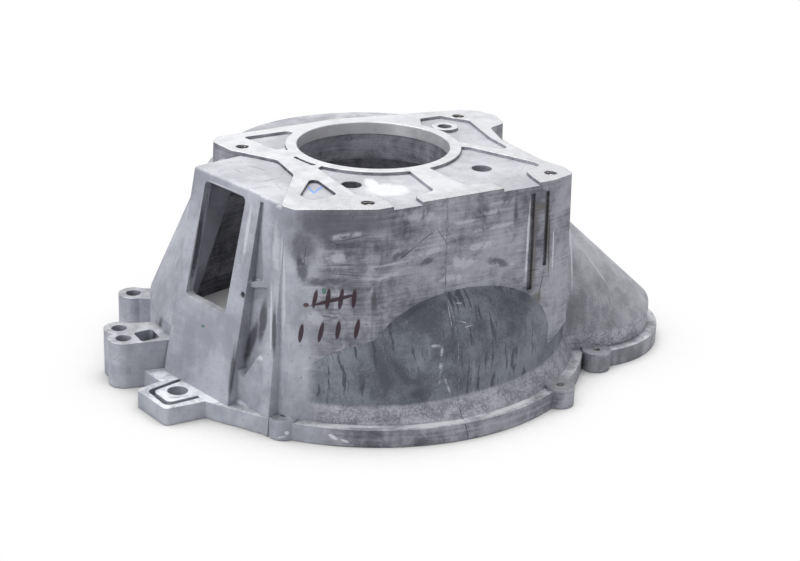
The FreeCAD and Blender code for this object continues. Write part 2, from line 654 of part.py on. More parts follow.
# Holes through the face plate, tapped gearbox holes, and holes through the engine flange.
level_pad(cuts, "PlainHoles", "Sizes.face_height", "Sizes.face_step + Sizes.top_wall + 15", [
    circle("Sizes.breather_x", "-Sizes.breather_drop", "Sizes.plain_hole / 2"),
    circle("Sizes.drain_x", "-Sizes.drain_drop", "Sizes.plain_hole / 2"),
    circle("Sizes.pin_x", "Sizes.pin_rise", "Sizes.pin_hole / 2")])
level_pad(cuts, "FaceThreads", "Sizes.face_height", "Sizes.face_thread_depth",
          [circle(x, y, "Sizes.face_thread / 2") for x, y in BOLTS.values()])
level_pad(cuts, "EngineHoles", "Sizes.boss_height", "Sizes.boss_height",
          [circle(x, y, "Sizes.boss_hole / 2") for x, y in ENGINE_BOLTS]
          + [circle(*EAR_HOLE, "Sizes.ear_hole / 2")])
level_pad(cuts, "PadThreads", "Sizes.pad_height", "Sizes.pad_thread_depth",
          [circle(x, y, "Sizes.pad_thread / 2") for x, y in COVER_PADS])

# Hollow of the paired boss, and the U-shaped groove round the square ear's land.
level_pad(cuts, "PairHollow", "Sizes.boss_height", "Sizes.hollow_depth",
          [off_pair(("11", "6", "3"), ("10", "-13", "3"), ("26", "-12", "3"), ("27", "7", "3"))])
GROOVE = [("10", "19", None), ("-21", "11", "6"), ("-19", "-21", "6"), ("10", "-19", None),
          ("10", "-15", None), ("-15", "-16", "5"), ("-17", "8", "5"), ("10", "15", None)]
level_pad(cuts, "EarGroove", "Sizes.flange_thick", "Sizes.ear_groove", [
    [("%s + (%s)" % (EAR_HOLE[0], x), "%s + (%s)" % (EAR_HOLE[1], y), radius)
     for x, y, radius in GROOVE]])

# Two upright flutes in the front wall beside bolt C; their floors lean as the wall does.
WALL_OUT = "Sizes.lower_bolt_drop + Sizes.land"
for name, x, width, low in (("LongFlute", "64.5", "4.5", "94"), ("ShortFlute", "77.5", "3.5", "112")):
    section = upright_sketch(cuts, name + "Section", "-90", x)
    floor = WALL_OUT + " - Sizes.flute_depth + tan(Sizes.draft) * (Sizes.face_height - %s)"
    top = "(Sizes.face_height - Sizes.flute_drop)"
    add_outline(section, [
        (floor % low, low, None), (floor % top, top, None),
        (WALL_OUT + " + 20", top, None), (WALL_OUT + " + 20", low, None)])
    feature(cuts, "PartDesign::Pad", name, section, Length=width)


def wall_prism(body, name, depth):
    """A pad square into the fork-window wall; its outlines run along the wall and up."""
    reach = "(Sizes.fork_out + 60)"
    sketch = upright_sketch(body, name + "Outline", "Sizes.fork_turn - 90",
                            "-cos(Sizes.fork_turn) * " + reach, "sin(Sizes.fork_turn) * " + reach)
    made = feature(body, "PartDesign::Pad", name, sketch, Length=depth)
    made.Reversed = True
    return sketch


add_outline(wall_prism(cuts, "ForkWindow", "72"), [
    ("-Sizes.window_back - Sizes.window_lean", "Sizes.window_low", "Sizes.window_corner"),
    ("Sizes.window_front - Sizes.window_lean", "Sizes.window_low", "Sizes.window_corner"),
    ("Sizes.window_front", WINDOW_TOP, "Sizes.window_corner"),
    ("-Sizes.window_back", WINDOW_TOP, "Sizes.window_corner"),
])
add_circle(wall_prism(cuts, "PegHole", "58"), "Sizes.fork_front - Sizes.peg_inset",
           "Sizes.peg_height", "Sizes.peg_hole / 2")
combine(body, "Finished", cuts, "Cut")

# Recesses in the cheek, beside the window frame: a long wedge above and a bay below it.
recess = new_body("CheekRecess")
outlines = wall_prism(recess, "CheekBays", "72")
add_outline(outlines, [
    ("Sizes.fork_front", "110", None), ("50", "116", "3"), ("43", "149", None),
    ("42", "%s - 4.5" % CAST_LEVEL, None), ("Sizes.fork_front", "%s - 4.5" % CAST_LEVEL, None)])
add_outline(outlines, [
    ("Sizes.fork_front", "41", None), ("41", "35", "3"), ("63", "72", "8"), ("64", "81", "8"),
    ("61", "104", "6"), ("56", "112", "4"), ("Sizes.fork_front", "106", None)])
floor = fork_section(recess, "CheekBayFloors", "Sizes.cheek_front + 20", "Sizes.cheek_recess",
                     "Sizes.cheek_out", "Sizes.cheek_slope", CAST_LEVEL)
feature(recess, "PartDesign::Pocket", "CheekBayDepth", floor, Length="120").Reversed = True
combine(body, "CheekRecessed", recess, "Cut").Refine = True

finished(body)
if len(body.Shape.Solids) != 1:
    raise RuntimeError("the casting is not one solid")
os.makedirs("parts", exist_ok=True)
body.Shape.exportStep("parts/%s.step" % body.Label)
print(body.Label, round(body.Shape.Volume / 1000), "cm3", body.Shape.BoundBox)
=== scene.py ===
import math

import bmesh
import bpy
from mathutils import Matrix, Vector
from mathutils.bvhtree import BVHTree


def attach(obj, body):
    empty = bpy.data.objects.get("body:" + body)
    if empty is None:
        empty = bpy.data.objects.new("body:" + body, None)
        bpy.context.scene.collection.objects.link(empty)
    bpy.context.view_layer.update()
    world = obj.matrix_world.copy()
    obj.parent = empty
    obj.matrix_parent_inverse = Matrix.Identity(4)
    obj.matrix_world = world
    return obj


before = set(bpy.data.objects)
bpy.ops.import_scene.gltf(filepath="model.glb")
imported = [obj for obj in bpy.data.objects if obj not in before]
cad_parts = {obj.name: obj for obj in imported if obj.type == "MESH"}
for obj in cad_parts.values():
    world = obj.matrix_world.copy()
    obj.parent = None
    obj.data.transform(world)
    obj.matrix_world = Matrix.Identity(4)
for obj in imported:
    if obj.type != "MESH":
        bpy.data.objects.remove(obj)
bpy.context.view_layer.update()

bpy.context.scene.view_settings.view_transform = "Standard"

# Camera: a long lens that looks down on the front left of the casting, as it stands on a bench.
# Its numbers were solved from the bore, the bolt holes and the flange as they stand in the picture.
IMAGE_WIDTH, IMAGE_HEIGHT = 800, 561
SENSOR = 36.0
LENS_PIXELS = 1787.1
TURN, LOOK_DOWN, ROLL = math.radians(-31.586), math.radians(21.862), math.radians(2.102)
DISTANCE, ASIDE, ABOVE = 1.5, 0.027456, 0.057906
FAR_END = 20.0

backwards = Vector((math.sin(TURN) * math.cos(LOOK_DOWN), -math.cos(TURN) * math.cos(LOOK_DOWN),
                    math.sin(LOOK_DOWN)))
level = Vector((math.cos(TURN), math.sin(TURN), 0))
upright = backwards.cross(level)
across = level * math.cos(ROLL) + upright * math.sin(ROLL)
upwards = upright * math.cos(ROLL) - level * math.sin(ROLL)
eye = backwards * DISTANCE + across * ASIDE + upwards * ABOVE
sight = Matrix((across, upwards, backwards)).transposed()
camera = bpy.data.objects.new("camera", bpy.data.cameras.new("camera"))
camera.data.sensor_width = SENSOR
camera.data.lens = LENS_PIXELS * SENSOR / IMAGE_WIDTH
camera.data.clip_end = FAR_END
camera.matrix_world = Matrix.Translation(eye) @ sight.to_4x4()
bpy.context.scene.collection.objects.link(camera)
bpy.context.scene.camera = camera


# Casting: one die-cast aluminium shell. The die leaves it blue-grey, mottled and rubbed, and its
# round front darker and smoother; a mill has cut the gearbox face, the register and the boss tops.
class Shade:
    """One output in a material's nodes. Python's operators on it add the Math nodes."""

    def __init__(self, tree, output=None):
        self.tree, self.output = tree, output

    def node(self, kind, settings, sockets, output=0):
        """Adds a node: its settings first, then the values or links of its sockets.

        The setting "laid" places, turns and sizes a texture."""
        made = self.tree.nodes.new("ShaderNode" + kind)
        for name, value in settings.items():
            if name == "laid":
                mapping = made.texture_mapping
                mapping.vector_type = "TEXTURE"
                mapping.translation, mapping.rotation, mapping.scale = value
            else:
                setattr(made, name, value)
        for key, value in sockets.items():
            if isinstance(value, Shade):
                self.tree.links.new(value.output, made.inputs[key])
            else:
                made.inputs[key].default_value = value
        return Shade(self.tree, made.outputs[output]) if made.outputs else None

    def also(self, output):
        """Another output of the same node."""
        return Shade(self.tree, self.output.node.outputs[output])

    def math(self, operation, *values):
        return self.node("Math", {"operation": operation}, dict(enumerate(values)))

    def __add__(self, other):
        return self.math("ADD", self, other)

    def __sub__(self, other):
        return self.math("SUBTRACT", self, other)

    def __rsub__(self, other):
        return self.math("SUBTRACT", other, self)

    def __mul__(self, other):
        return self.math("MULTIPLY", self, other)

    __radd__, __rmul__ = __add__, __mul__

    def between(self, low, high):
        """0 below low, 1 above high, and a soft step from one to the other."""
        return self.node("MapRange", {"interpolation_type": "SMOOTHSTEP"},
                         {"Value": self, "From Min": low, "From Max": high})

    def blend(self, under, over):
        """The colour over laid on the colour under, where this mask is 1."""
        colours = {6: under, 7: over}
        for key, colour in colours.items():
            if not isinstance(colour, Shade):
                colours[key] = (*colour, 1)
        return self.node("Mix", {"data_type": "RGBA"}, {0: self, **colours}, 2)


def new_finish(name):
    """An empty material, and the start of its nodes."""
    material = bpy.data.materials.new(name)
    material.use_nodes = True
    material.node_tree.nodes.clear()
    return material, Shade(material.node_tree)


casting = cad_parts["housing_casting"]
solid = bmesh.new()
solid.from_mesh(casting.data)
skin = BVHTree.FromBMesh(solid)
solid.free()

alloy, start = new_finish("cast_aluminium")
place = start.node("TexCoord", {}, {}, "Object")
facing = place.also("Normal")
x = start.node("SeparateXYZ", {}, {"Vector": place})
y, z = x.also(1), x.also(2)
face_x = start.node("SeparateXYZ", {}, {"Vector": facing})
face_y, face_z = face_x.also(1), face_x.also(2)
radius = start.math("SQRT", x * x + y * y)
toward = start.node("VectorMath", {"operation": "DOT_PRODUCT"}, {0: facing, 1: backwards}, "Value")
SIDE_ON, SEEN_WELL = 0.02, 0.15
toward = toward.between(SIDE_ON, SEEN_WELL)

# The machined levels, in metres up the shaft axis, and the length of bore that is turned.
FACE, RECESS, BOSS_TOP, PAD_TOP, FLANGE_TOP = 0.180, 0.1775, 0.038, 0.016, 0.014
CUT_SLACK, CAST_SLACK, SOFT_EDGE = 0.0004, 0.001, 0.0002
BORE_WALL, TURNED_DEPTH = (0.0622, 0.0624), (0.1695, 0.1700)
LEVEL = (0.90, 0.97)
upward = face_z.between(*LEVEL)


def at_level(height, slack=CUT_SLACK):
    """Where the surface faces up at one height."""
    off = start.math("ABSOLUTE", z - height)
    return upward * (1 - off.between(slack, slack + SOFT_EDGE))


milled_face = at_level(FACE)
recess_floor = at_level(RECESS, CAST_SLACK)
turned_bore = (1 - radius.between(*BORE_WALL)) * z.between(*TURNED_DEPTH)
small_tops = start.math("MAXIMUM", at_level(BOSS_TOP), at_level(PAD_TOP))
flange_top = at_level(FLANGE_TOP)
milled_or_turned = start.math("MAXIMUM", milled_face, turned_bore)
machined = start.math("MAXIMUM", milled_or_turned, small_tops)

# The bell's round front faces straight away from the shaft axis, and the swell above it from a
# line a little in front and to the left of the axis. Each pair is where a part of the wall fades
# into the next, in metres, and LEAN is how far the cone faces up.
AXIS, SWELL_CENTRE = 0.0, -0.019
TWISTED_AWAY, LEAN = (0.015, 0.045), (0.033, 0.045)
SKIRT_TOP, SWELL_TOP, BELL_FOOT = (0.060, 0.070), (0.098, 0.104), (0.0275, 0.0315)
BELL_INSIDE, BELL_BACK, BELL_LEFT = (0.122, 0.127), (-0.055, -0.035), (-0.125, -0.115)
BAND_TOP, BAND_FOOT = (0.026, 0.031), (0.0142, 0.0150)
LEFT_EDGE, LOBE_EDGE = (-0.125, -0.105), (0.112, 0.125)


def round_about(centre):
    """Where the wall faces straight away from an upright line."""
    off_x, off_y = x - centre, y - centre
    reach = start.math("SQRT", off_x * off_x + off_y * off_y)
    twist = start.math("DIVIDE", face_x * off_y - face_y * off_x, reach)
    return 1 - start.math("ABSOLUTE", twist).between(*TWISTED_AWAY)


cone_or_skirt = start.math("MAXIMUM", face_z.between(*LEAN), 1 - z.between(*SKIRT_TOP))
bell_wall = round_about(AXIS) * cone_or_skirt
swell_wall = round_about(SWELL_CENTRE) * (1 - z.between(*SWELL_TOP))
bell = start.math("MAXIMUM", bell_wall, swell_wall) * radius.between(*BELL_INSIDE)
bell = bell * (1 - y.between(*BELL_BACK)) * x.between(*BELL_LEFT) * z.between(*BELL_FOOT)
band = (1 - z.between(*BAND_TOP)) * z.between(*BAND_FOOT)
left_side = 1 - x.between(*LEFT_EDGE)
lobe_side = x.between(*LOBE_EDGE)

# Coarse and fine patches, rubbed lines, upright runs, drawn streaks and pores.
cloud = start.node("TexNoise", {}, {"Vector": place, "Scale": 24.0, "Detail": 6.0, "Roughness": 0.62})
blotch = start.node("TexNoise", {}, {"Vector": place, "Scale": 85.0, "Detail": 9.0, "Roughness": 0.70,
                                     "Distortion": 0.5})
speckle = start.node("TexNoise", {}, {"Vector": place, "Scale": 620.0, "Detail": 4.0, "Roughness": 0.7})
tilted = start.node("Mapping", {}, {"Vector": place, "Rotation": (0.0, -0.20, 0.0),
                                    "Scale": (22.0, 22.0, 420.0)})
rubbed = start.node("TexNoise", {}, {"Vector": tilted, "Scale": 1.0, "Detail": 7.0, "Roughness": 0.68,
                                     "Distortion": 0.3})
upright_way = start.node("Mapping", {}, {"Vector": place, "Scale": (110.0, 110.0, 14.0)})
runs = start.node("TexNoise", {}, {"Vector": upright_way, "Scale": 1.0, "Detail": 5.0, "Roughness": 0.6})
steep = start.node("Mapping", {}, {"Vector": place, "Rotation": (0.0, -0.62, 0.0),
                                   "Scale": (250.0, 40.0, 36.0)})
streak = start.node("TexNoise", {}, {"Vector": steep, "Scale": 1.0, "Detail": 3.0, "Roughness": 0.6,
                                     "Distortion": 0.25})
pores = start.node("TexVoronoi", {}, {"Vector": place, "Scale": 240.0})
shallow_pores = start.node("TexVoronoi", {}, {"Vector": place, "Scale": 520.0})


def seen_at(column, row):
    """The point of the casting behind a pixel of the picture."""
    aim = (across * (column - IMAGE_WIDTH / 2) - upwards * (row - IMAGE_HEIGHT / 2)
           - backwards * LENS_PIXELS).normalized()
    return skin.ray_cast(eye, aim)[0]


def marks(rows, full, patchy):
    """Where long spots lie on the side that the camera sees.

    Each row is a spot's column and row in the picture, its half length and half width in pixels,
    and its slope in degrees. A spot is solid where it is stronger than full, and patchy says how
    much of it has worn off."""
    MARK_DEPTH, PATCHES = 0.035, (0.36, 0.62)
    found = 0.0
    for column, row, long, wide, slope in rows:
        point = seen_at(column, row)
        pixel = (eye - point).dot(backwards) / LENS_PIXELS
        turn = (sight @ Matrix.Rotation(math.radians(slope), 3, "Z")).to_euler()
        spot = start.node("TexGradient", {"gradient_type": "SPHERICAL",
                                          "laid": (point, turn, (long * pixel, wide * pixel, MARK_DEPTH))},
                          {"Vector": place}, "Fac")
        found = start.math("MAXIMUM", found, spot)
    worn = blotch.between(*PATCHES) * (2 * patchy) + (1 - patchy)
    return (found * worn).between(0.0, full) * toward


# Cast wall: cloudy blue-grey with rubbed, nearly level lines and upright runs.
WALL_DARK, WALL_LIGHT, WALL_SMEAR = (0.085, 0.086, 0.104), (0.345, 0.348, 0.395), (0.48, 0.485, 0.54)
tone = cloud * 0.36 + blotch * 0.30 + rubbed * 0.22 + runs * 0.12
LEFT_TO_MIDDLE, MIDDLE_TO_RIGHT = (-0.10, -0.02), (0.07, 0.09)
tone = tone + x.between(*LEFT_TO_MIDDLE) * 0.045 + x.between(*MIDDLE_TO_RIGHT) * 0.03 - 0.012
wall = tone.between(0.40, 0.62).blend(WALL_DARK, WALL_LIGHT)
wall = (rubbed.between(0.56, 0.68) * cloud.between(0.48, 0.60) * 0.55).blend(wall, WALL_SMEAR)
wall = (runs.between(0.58, 0.70) * blotch.between(0.45, 0.6) * 0.30).blend(wall, WALL_SMEAR)

# The left side is smoother, and is painted lighter as if lit from the left; the starter lobe is lighter and
# smoother too.
LIT_SIDE_DARK, LIT_SIDE_LIGHT = (0.265, 0.272, 0.318), (0.40, 0.41, 0.465)
side = (cloud * 0.70 + blotch * 0.20 + runs * 0.10).between(0.38, 0.62).blend(LIT_SIDE_DARK, LIT_SIDE_LIGHT)
wall = (left_side * 0.92).blend(wall, side)
LOBE_DARK, LOBE_LIGHT = (0.175, 0.180, 0.202), (0.36, 0.365, 0.395)
lobe_tone = (cloud * 0.5 + runs * 0.3 + speckle * 0.2).between(0.42, 0.60).blend(LOBE_DARK, LOBE_LIGHT)
wall = (lobe_side * 0.9).blend(wall, lobe_tone)

# Painted light: cast surfaces that face up are painted paler, as if lit from above.
LIT_TOP_DARK, LIT_TOP_LIGHT, EVEN = (0.34, 0.345, 0.375), (0.52, 0.525, 0.56), (0.40, 0.60)
lit_top = (cloud * 0.6 + blotch * 0.4).between(*EVEN).blend(LIT_TOP_DARK, LIT_TOP_LIGHT)
FACES_UP = (0.35, 0.70)
wall = (face_z.between(*FACES_UP) * 0.85).blend(wall, lit_top)

# Handling and oil on the front wall, and painted edge highlights, each row by the pixel it is seen at.
SMOOTH_DARK = [(330, 224, 58, 24, 0), (360, 220, 50, 20, 0), (302, 246, 20, 30, 0)]
OIL_PATCHES = [(302, 268, 8, 19, 0), (362, 268, 7, 8, 0), (399, 256, 15, 5, 28), (384, 268, 12, 4, 8),
               (328, 282, 44, 6, 0), (458, 240, 15, 4, 15), (374, 304, 5, 22, 0), (345, 246, 26, 5, 4),
               (516, 214, 3, 22, 0), (425, 262, 14, 5, 20), (497, 262, 16, 6, -12), (432, 300, 18, 4, 12)]
LIGHT_SMEARS = [(488, 213, 32, 3, 12), (494, 227, 30, 3, 13), (470, 221, 30, 2.5, 12),
                (500, 203, 18, 2.5, 12), (480, 246, 28, 4, 14), (462, 262, 26, 8, 6),
                (452, 278, 26, 5, 4), (420, 216, 22, 8, 0), (338, 258, 20, 6, 6), (345, 236, 24, 4, 8),
                (430, 252, 30, 4, 16), (372, 292, 2, 8, 0), (388, 277, 14, 4, 20), (318, 318, 34, 9, 0),
                (276, 250, 5, 42, 0), (512, 264, 3, 1.5, 0)]
# Painted highlights on the rounded edges beside the flutes and the column.
EDGE_HIGHLIGHTS = [(528, 240, 52, 1.9, 87.5), (571, 246, 62, 1.2, 90), (553, 250, 24, 1.0, 90)]
BROWN_OIL = [(534, 246, 66, 3.4, 88.5), (547, 226, 34, 3.2, 90), (536, 301, 12, 6, 75), (541, 206, 9, 5, 0),
             (549, 250, 34, 1.4, 90)]
HAIRLINES = [(428, 236, 14, 0.5, 38), (442, 236, 13, 0.5, -55), (343, 265, 14, 0.6, 0),
             (348, 275, 22, 0.5, -4), (305, 255, 11, 0.5, 84), (355, 238, 18, 0.5, 12),
             (409, 252, 12, 0.7, 40), (549, 236, 34, 0.6, 90), (541, 284, 22, 0.5, 80),
             (334, 243, 16, 0.5, -22), (534, 270, 6, 0.6, 10), (466, 427, 12, 0.7, 105)]
SMOOTH_TONE, OIL_TONE, BROWN_TONE = (0.092, 0.094, 0.118), (0.050, 0.050, 0.060), (0.135, 0.122, 0.108)
HIGHLIGHT_TONE, LINE_TONE, NICK_TONE = (0.60, 0.60, 0.65), (0.035, 0.035, 0.040), (0.62, 0.62, 0.66)
wall = (marks(SMOOTH_DARK, 0.75, 0.3) * 0.80).blend(wall, SMOOTH_TONE)
wall = (marks(LIGHT_SMEARS, 0.9, 0.85) * 0.55).blend(wall, WALL_SMEAR)
wall = (marks(OIL_PATCHES, 0.9, 0.85) * 0.72).blend(wall, OIL_TONE)
wall = (marks(BROWN_OIL, 0.5, 0.6) * 0.70).blend(wall, BROWN_TONE)
wall = (marks(EDGE_HIGHLIGHTS, 0.5, 0.5) * 0.75).blend(wall, HIGHLIGHT_TONE)

# Painted shade on the left's shaded faces, and painted highlights on its lit rims and the starter lobe's
# crease.
SHADED = [(263, 320, 30, 6, 80), (197, 245, 48, 4, 79), (232, 372, 36, 3.5, 82), (274, 330, 34, 3, 88),
          (252, 340, 30, 6, 70), (157, 330, 20, 4, 70)]
LIT_RIMS = [(247, 233, 34, 2.2, 80), (196, 237, 56, 0.9, 79), (222, 186, 26, 0.9, -22),
            (255, 281, 9, 2.0, 12), (596, 268, 28, 1.1, -54), (271, 320, 44, 1.4, 88),
            (283, 290, 70, 3.0, 89)]
SHADED_TONE, RIM_TONE = (0.050, 0.051, 0.062), (0.56, 0.57, 0.62)
wall = (marks(SHADED, 0.6, 0.3) * 0.85).blend(wall, SHADED_TONE)
wall = (marks(LIT_RIMS, 0.5, 0.4) * 0.60).blend(wall, RIM_TONE)

# Bell front: smooth, darker and greener, with short slanting streaks from the draw of the die.
BELL_DARK, BELL_LIGHT = (0.070, 0.077, 0.092), (0.195, 0.210, 0.238)
BELL_SHADES = [(378, 358, 30, 10, -68), (419, 394, 14, 8, 0), (412, 312, 40, 6, 32), (300, 372, 10, 12, 0),
               (446, 306, 9, 6, -60), (400, 372, 26, 9, -55)]
BELL_SCRATCHES = [(463, 322, 10, 0.9, -12), (459, 303, 4, 1.0, 0), (450, 316, 16, 0.6, -80),
                  (469, 326, 6, 0.7, 20), (441, 364, 24, 2.2, 86), (447, 384, 14, 1.6, -70),
                  (460, 398, 22, 1.4, 8), (436, 346, 6, 2.0, 0)]
DRAWN_TONE, PALE_DRAWN_TONE = (0.038, 0.042, 0.050), (0.32, 0.34, 0.37)
BELL_SHADE_TONE, BELL_SCRATCH_TONE = (0.036, 0.040, 0.050), (0.46, 0.48, 0.50)
LIGHTER_TO_RIGHT = (0.0, 0.08)
bell_tone = cloud * 0.6 + speckle * 0.2 + blotch * 0.2 + x.between(*LIGHTER_TO_RIGHT) * 0.05
bell_tone = bell_tone.between(0.40, 0.62).blend(BELL_DARK, BELL_LIGHT)
drawn = streak.between(0.560, 0.625) * cloud.between(0.42, 0.52)
bell_tone = (drawn * 0.75).blend(bell_tone, DRAWN_TONE)
bell_tone = ((1 - streak).between(0.66, 0.74) * 0.22).blend(bell_tone, PALE_DRAWN_TONE)
bell_tone = (marks(BELL_SHADES, 0.9, 0.3) * 0.55).blend(bell_tone, BELL_SHADE_TONE)
bell_tone = (marks(BELL_SCRATCHES, 0.6, 0.9) * 0.6).blend(bell_tone, BELL_SCRATCH_TONE)
wall = bell.blend(wall, bell_tone)
# Painted light: the band above the flange is painted paler, as light on a face that tilts up.
LIT_BAND_DARK, LIT_BAND_LIGHT = (0.20, 0.202, 0.24), (0.43, 0.43, 0.485)
lit_band_tone = (speckle * 0.5 + blotch * 0.5).between(0.42, 0.58).blend(LIT_BAND_DARK, LIT_BAND_LIGHT)
wall = (band * 0.85 * (1 - left_side)).blend(wall, lit_band_tone)

# The die's seam runs down the front, and pores, hairlines and nicks lie over everything.
SEAM_X, SEAM_REACH, SEAM_BACK = -0.015, (0.00025, 0.0006), (-0.09, -0.08)
SEAM_TONE, PORE_TONE = (0.045, 0.045, 0.052), (0.040, 0.040, 0.047)
seam = 1 - start.math("ABSOLUTE", x - SEAM_X).between(*SEAM_REACH)
seam = seam * (1 - y.between(*SEAM_BACK)) * blotch.between(0.40, 0.52) * (1 - bell)
wall = (seam * 0.6).blend(wall, SEAM_TONE)
wall = ((1 - pores.between(0.05, 0.13)) * cloud.between(0.45, 0.55) * 0.7).blend(wall, PORE_TONE)
wall = (marks(HAIRLINES, 0.4, 0.8) * 0.75).blend(wall, LINE_TONE)
NICKS = [(333, 437, 6, 2.2, -30), (287, 433, 3, 2.4, 0), (345, 441, 5, 1.4, -20), (282, 437, 6, 1.0, 10)]
wall = (marks(NICKS, 0.4, 0.5) * 0.8).blend(wall, NICK_TONE)

# Pen and paint: a shop's plain tally in dark red ink, a red dot and dots of green paint.
TALLY = [(315, 299, 11, 2.6, 78), (328, 299, 12, 2.8, 82), (341, 299, 12, 2.7, 80), (354, 299, 11, 2.8, 83),
         (334, 300, 28, 2.2, 14), (301, 333, 11, 2.7, 80), (321, 332, 12, 2.6, 76), (338, 330, 11, 2.8, 82),
         (357, 329, 12, 2.8, 78)]
GREEN_DOTS = [(324, 291, 2.6, 3.4, 0), (203, 326, 2.4, 2.0, 0)]
RED_DOT = [(306, 305, 3.4, 2.6, 0)]
RED_INK, RED_PAINT, GREEN_PAINT = (0.030, 0.012, 0.020), (0.055, 0.018, 0.018), (0.035, 0.150, 0.100)
wall = (marks(TALLY, 0.25, 0.3) * 0.92).blend(wall, RED_INK)
wall = (marks(RED_DOT, 0.3, 0.3) * 0.85).blend(wall, RED_PAINT)
wall = (marks(GREEN_DOTS, 0.3, 0.3) * 0.75).blend(wall, GREEN_PAINT)

# Machined faces, the pale cast floors between them with one pen tick, and the top of the flange,
# painted paler with painted highlights along it, as if lit from above.
MILL_LOW, MILL_HIGH = (0.66, 0.665, 0.695), (0.79, 0.795, 0.825)
cut_lines = start.node("TexWave", {"wave_type": "RINGS", "rings_direction": "Z"},
                       {"Vector": place, "Scale": 190.0, "Distortion": 1.2, "Detail": 2.0})
milled = (blotch * 0.6 + cloud * 0.4).between(0.36, 0.56).blend(MILL_LOW, MILL_HIGH)
CUT_LINE_TONE, SPECK_TONE, STAIN_TONE = (0.58, 0.58, 0.61), (0.50, 0.50, 0.53), (0.42, 0.43, 0.47)
milled = (cut_lines * 0.10).blend(milled, CUT_LINE_TONE)
milled = (speckle.between(0.60, 0.74) * 0.10).blend(milled, SPECK_TONE)
FLOOR_LOW, FLOOR_HIGH = (0.36, 0.365, 0.39), (0.50, 0.505, 0.53)
WIPED = [(388, 190, 26, 10, 0), (372, 184, 12, 6, -30), (283, 150, 10, 4, 10)]
WIPED_TONE, CRACK_TONE, BLUE_PEN = (0.66, 0.66, 0.68), (0.16, 0.16, 0.17), (0.14, 0.28, 0.62)
recess_tone = (cloud * 0.5 + blotch * 0.3 + speckle * 0.2).between(*EVEN)
recess_tone = recess_tone.blend(FLOOR_LOW, FLOOR_HIGH)
recess_tone = (marks(WIPED, 0.4, 0.3) * 0.8).blend(recess_tone, WIPED_TONE)
CRAZING = [(258, 168, 13, 0.45, -18), (270, 180, 15, 0.45, 14), (284, 171, 9, 0.4, 68),
           (262, 187, 14, 0.4, 10), (240, 172, 10, 0.4, -28), (279, 187, 8, 0.4, -40)]
recess_tone = (marks(CRAZING, 0.4, 0.9) * 0.6).blend(recess_tone, CRACK_TONE)
TICK = [(311, 190, 7, 1.3, -48), (319, 189, 10, 1.3, 45)]
recess_tone = (marks(TICK, 0.3, 0.4) * 0.75).blend(recess_tone, BLUE_PEN)
STAINS = [(230, 157, 22, 7, -10), (470, 128, 8, 4, -30), (300, 163, 14, 5, -35), (262, 150, 10, 5, 0)]
milled = (marks(STAINS, 0.8, 0.6) * 0.25).blend(milled, STAIN_TONE)
# Painted light on the flange top: a paler tone and painted highlight strips.
LIT_LIP_LOW, LIT_LIP_HIGH, LIP_HIGHLIGHT_TONE = (0.34, 0.35, 0.38), (0.70, 0.71, 0.74), (0.86, 0.86, 0.88)
lit_lip_tone = (blotch * 0.7 + cloud * 0.3).between(*EVEN).blend(LIT_LIP_LOW, LIT_LIP_HIGH)
LIP_HIGHLIGHTS = [(352, 426, 54, 2.4, -1), (436, 424, 54, 2.4, 5), (508, 408, 46, 2.8, 18)]
lit_lip_tone = (marks(LIP_HIGHLIGHTS, 0.5, 0.3) * 0.8).blend(lit_lip_tone, LIP_HIGHLIGHT_TONE)
colour = recess_floor.blend(wall, recess_tone)
colour = (flange_top * 0.9).blend(colour, lit_lip_tone)
SPOT_FACE_LOW, SPOT_FACE_HIGH = (0.34, 0.345, 0.37), (0.55, 0.555, 0.585)
spot_face = (blotch * 0.6 + cloud * 0.4).between(*EVEN).blend(SPOT_FACE_LOW, SPOT_FACE_HIGH)
colour = small_tops.blend(colour, spot_face)
colour = milled_or_turned.blend(colour, milled)

# Painted shade: the colour is darkened in tight corners, where ambient occlusion finds surfaces close by.
CORNER_SHADE_TONE, CORNER = (0.030, 0.029, 0.034), 0.005
crevice = start.node("AmbientOcclusion", {"samples": 4, "only_local": True}, {"Distance": CORNER}, "AO")
colour = ((1 - crevice.between(0.12, 0.58)) * 0.52).blend(colour, CORNER_SHADE_TONE)

# Every edge is a little round, the skin is rough and pitted, and a cut face is smooth.
EDGE_RADIUS, SKIN_DEPTH = 0.0014, 0.00055
ROUGH, METAL = 0.50, 0.55
eased = start.node("Bevel", {"samples": 4}, {"Radius": EDGE_RADIUS})
pits = (1 - pores.between(0.05, 0.16)) * 0.7 + (1 - shallow_pores.between(0.05, 0.2)) * 0.25
relief = (speckle * 0.35 + blotch * 1.1 + rubbed * 0.5 + runs * 0.3 - pits) * (1 - bell * 0.55)
relief = relief * (1 - machined * 0.95) + cut_lines * machined * 0.02
bumped = start.node("Bump", {}, {"Height": relief, "Distance": SKIN_DEPTH, "Normal": eased})
dullness = blotch * 0.20 - bell * 0.10 - machined * 0.22 + recess_floor * 0.10 + ROUGH
shine = machined * 0.12 - recess_floor * 0.15 + METAL
surface = start.node("BsdfPrincipled", {}, {"Base Color": colour, "Roughness": dullness,
                                            "Metallic": shine, "Normal": bumped})
start.node("OutputMaterial", {}, {"Surface": surface})
casting.data.materials.clear()
casting.data.materials.append(alloy)


